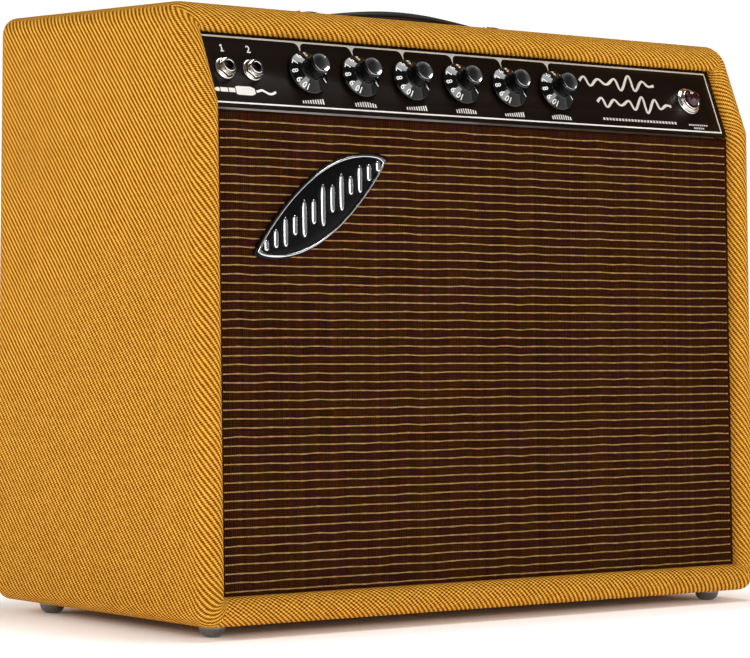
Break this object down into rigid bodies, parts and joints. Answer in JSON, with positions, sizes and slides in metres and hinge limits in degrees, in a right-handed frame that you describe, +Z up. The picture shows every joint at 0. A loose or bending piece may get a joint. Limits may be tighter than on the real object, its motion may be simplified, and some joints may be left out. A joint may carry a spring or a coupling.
{
  "type": "guitar amplifier",
  "caption": "Open-backed valve guitar amplifier: sloped control panel over a cloth grille in a cloth-covered box, with strap handle and metal feet.",
  "frame": {"origin": "on the floor, under the middle of the cabinet's outer box", "axes": "+Z up, the front with the grille and the controls faces -Y, +X to the right seen from the front"},
  "size_m": [0.505, 0.241, 0.4194],
  "materials": {
    "tweed_covered_pine": "yellow-gold twill tweed with a thin lacquer, glued over pine boards",
    "baffle_ply": "black-painted plywood",
    "grille_cloth": "oxblood woven grille cloth with a gold stripe",
    "badge_chrome": "bright chrome relief on black",
    "strap_leather": "black grained strap",
    "spring_steel": "plain spring band",
    "nickel": "polished nickel plate",
    "panel_paint": "dark brown satin paint with printed pale lines",
    "knob_plastic": "glossy black with white numerals",
    "spun_aluminium": "spun disc",
    "pot_steel": "stamped steel can",
    "chassis_steel": "bare plated steel",
    "board_fibre": "fibre board",
    "transformer_iron": "black painted laminated iron",
    "capacitor_can": "drawn aluminium can",
    "valve_glass": "clear glass with a silver getter flash",
    "jewel": "faceted purple-red jewel",
    "inlet_plastic": "moulded black",
    "speaker_steel": "black stamped basket",
    "magnet_ferrite": "ferrite ring between plated plates",
    "cone_paper": "pressed black paper",
    "tank_steel": "folded plated steel"
  },
  "bodies": {
    "cabinet": {"cabinet_shell": "tweed_covered_pine", "baffle_board": "baffle_ply", "grille_cloth": "grille_cloth", "badge": "badge_chrome", "upper_back_panel": "tweed_covered_pine", "lower_back_panel": "tweed_covered_pine", "foot_front_left": "nickel", "foot_front_right": "nickel", "foot_rear_left": "nickel", "foot_rear_right": "nickel", "handle_cap_left": "nickel", "handle_cap_right": "nickel", "chassis": "chassis_steel", "circuit_board": "board_fibre", "power_transformer": "transformer_iron", "output_transformer": "transformer_iron", "filter_capacitor": "capacitor_can", "preamp_valve_1": "valve_glass", "preamp_valve_2": "valve_glass", "preamp_valve_3": "valve_glass", "preamp_valve_4": "valve_glass", "power_valve_1": "valve_glass", "power_valve_2": "valve_glass", "rectifier_valve": "valve_glass", "control_panel": "panel_paint", "pot_volume": "pot_steel", "pot_treble": "pot_steel", "pot_bass": "pot_steel", "pot_reverb": "pot_steel", "pot_speed": "pot_steel", "pot_intensity": "pot_steel", "input_jack_1": "nickel", "input_jack_2": "nickel", "pilot_bezel": "nickel", "pilot_jewel": "jewel", "mains_inlet": "inlet_plastic", "speaker_jack": "nickel", "pedal_jack": "nickel", "fuse_holder": "inlet_plastic", "power_switch_body": "nickel", "speaker_frame": "speaker_steel", "speaker_magnet": "magnet_ferrite", "reverb_tank": "tank_steel"},
    "handle": {"handle_band": "spring_steel", "handle_grip": "strap_leather"},
    "speaker_cone": {"speaker_cone": "cone_paper"},
    "fuse_cap": {"fuse_cap": "knob_plastic"},
    "power_switch_lever": {"power_switch_lever": "nickel"},
    "knob_volume": {"knob_volume": "knob_plastic", "knob_cap_volume": "spun_aluminium"},
    "knob_treble": {"knob_treble": "knob_plastic", "knob_cap_treble": "spun_aluminium"},
    "knob_bass": {"knob_bass": "knob_plastic", "knob_cap_bass": "spun_aluminium"},
    "knob_reverb": {"knob_reverb": "knob_plastic", "knob_cap_reverb": "spun_aluminium"},
    "knob_speed": {"knob_speed": "knob_plastic", "knob_cap_speed": "spun_aluminium"},
    "knob_intensity": {"knob_intensity": "knob_plastic", "knob_cap_intensity": "spun_aluminium"}
  },
  "joints": [
    {"name": "volume_turn", "type": "hinge", "parent": "cabinet", "child": "knob_volume", "pos_m": [-0.152, -0.08948, 0.36301], "axis": [0, -0.9171, 0.3987], "range_deg": [-165, 135]},
    {"name": "treble_turn", "type": "hinge", "parent": "cabinet", "child": "knob_treble", "pos_m": [-0.10756, -0.08948, 0.36301], "axis": [0, -0.9171, 0.3987], "range_deg": [-165, 135]},
    {"name": "bass_turn", "type": "hinge", "parent": "cabinet", "child": "knob_bass", "pos_m": [-0.06312, -0.08948, 0.36301], "axis": [0, -0.9171, 0.3987], "range_deg": [-165, 135]},
    {"name": "reverb_turn", "type": "hinge", "parent": "cabinet", "child": "knob_reverb", "pos_m": [-0.01868, -0.08948, 0.36301], "axis": [0, -0.9171, 0.3987], "range_deg": [-165, 135]},
    {"name": "speed_turn", "type": "hinge", "parent": "cabinet", "child": "knob_speed", "pos_m": [0.02576, -0.08948, 0.36301], "axis": [0, -0.9171, 0.3987], "range_deg": [-165, 135]},
    {"name": "intensity_turn", "type": "hinge", "parent": "cabinet", "child": "knob_intensity", "pos_m": [0.0702, -0.08948, 0.36301], "axis": [0, -0.9171, 0.3987], "range_deg": [-165, 135]},
    {"name": "handle_lift", "type": "slide", "parent": "cabinet", "child": "handle", "axis": [0, 0, 1], "range_m": [0, 0.012], "deforming": ["handle_band"]},
    {"name": "cone_travel", "type": "slide", "parent": "cabinet", "child": "speaker_cone", "axis": [0, -0.9992, 0.0401], "range_m": [-0.0025, 0.0025], "stiffness_N_per_m": 2500},
    {"name": "power_switch_throw", "type": "hinge", "parent": "cabinet", "child": "power_switch_lever", "pos_m": [0.122, 0.098, 0.361], "axis": [1, 0, 0], "range_deg": [0, 25]},
    {"name": "fuse_cap_twist", "type": "hinge", "parent": "cabinet", "child": "fuse_cap", "pos_m": [0.152, 0.098, 0.361], "axis": [0, 1, 0], "range_deg": [-60, 0]}
  ]
}
